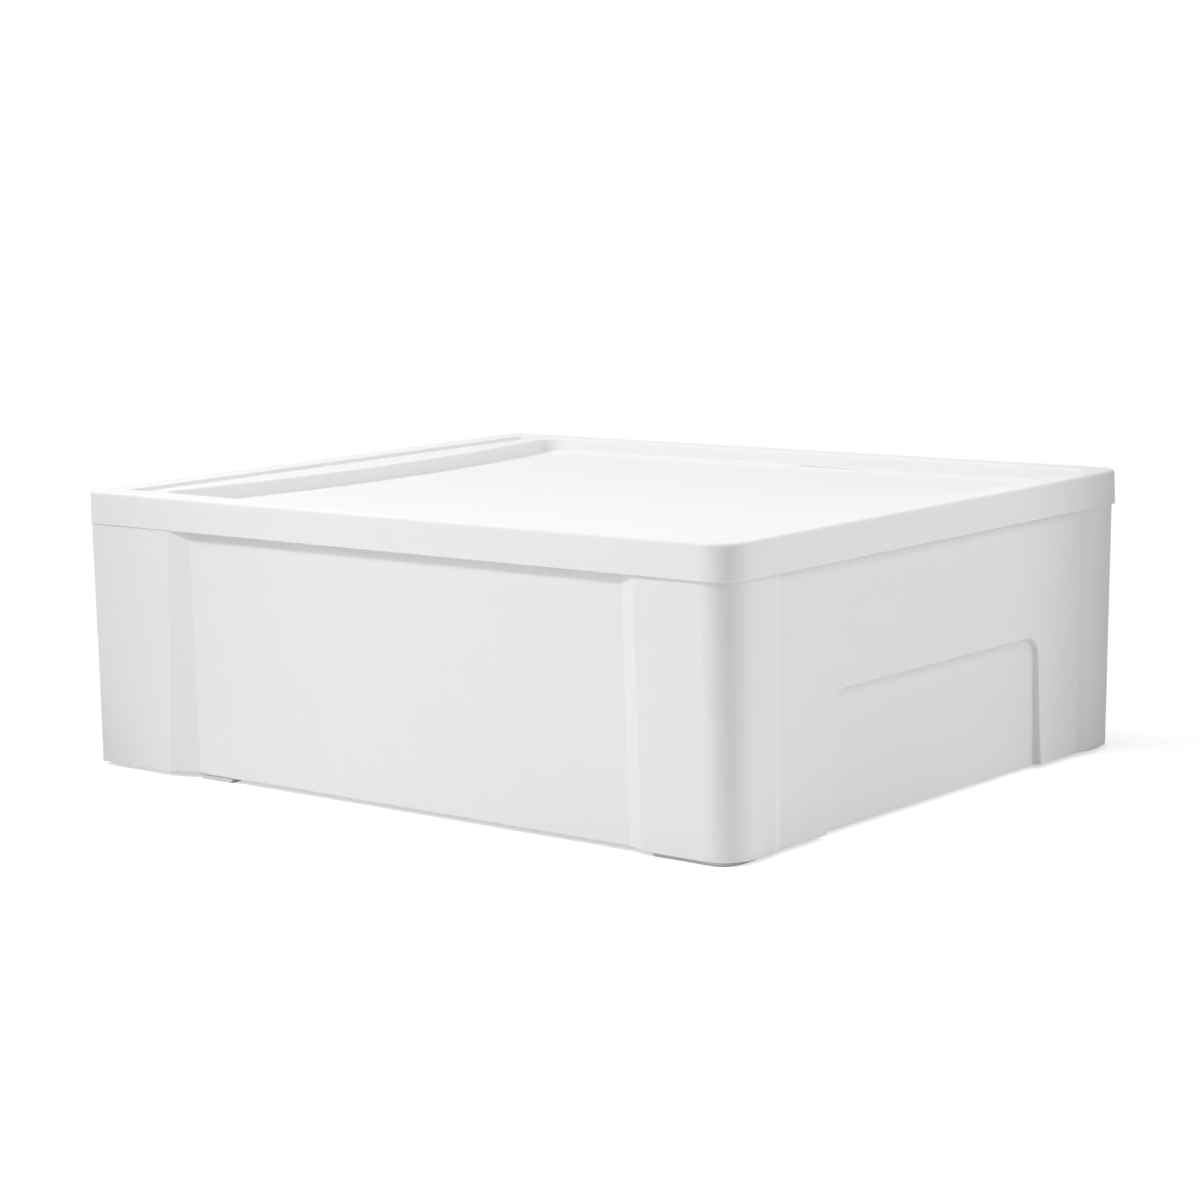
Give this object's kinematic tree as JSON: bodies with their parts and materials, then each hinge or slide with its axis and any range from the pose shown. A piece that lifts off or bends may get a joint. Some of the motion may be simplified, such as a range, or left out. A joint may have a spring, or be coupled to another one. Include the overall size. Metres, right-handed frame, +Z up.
{
  "type": "stackable drawer box",
  "caption": "Low rectangular plastic box with a recessed top and a single full-width drawer that slides out of its front; boxes stack on their tops.",
  "frame": {"origin": "on the floor, under the middle of the box", "axes": "+Z up; the drawer opens towards -Y and the closed rear wall faces +Y; +X is the box's right side, the long side that the picture shows"},
  "size_m": [0.32, 0.4, 0.138],
  "materials": {
    "housing_plastic": "fine satin, white",
    "drawer_plastic": "fine satin, white",
    "foot_pad": "soft, pale grey"
  },
  "bodies": {
    "housing": {"top_cover": "housing_plastic", "side_panel_left": "housing_plastic", "side_panel_right": "housing_plastic", "rear_panel": "housing_plastic", "base_panel": "housing_plastic", "foot_front_left": "foot_pad", "foot_front_right": "foot_pad", "foot_rear_left": "foot_pad", "foot_rear_right": "foot_pad"},
    "drawer": {"drawer_tray": "drawer_plastic", "drawer_front": "drawer_plastic", "drawer_stop_left": "drawer_plastic", "drawer_stop_right": "drawer_plastic"}
  },
  "joints": [
    {"name": "drawer_slide", "type": "slide", "parent": "housing", "child": "drawer", "axis": [0, -1, 0], "range_m": [0, 0.3]}
  ]
}
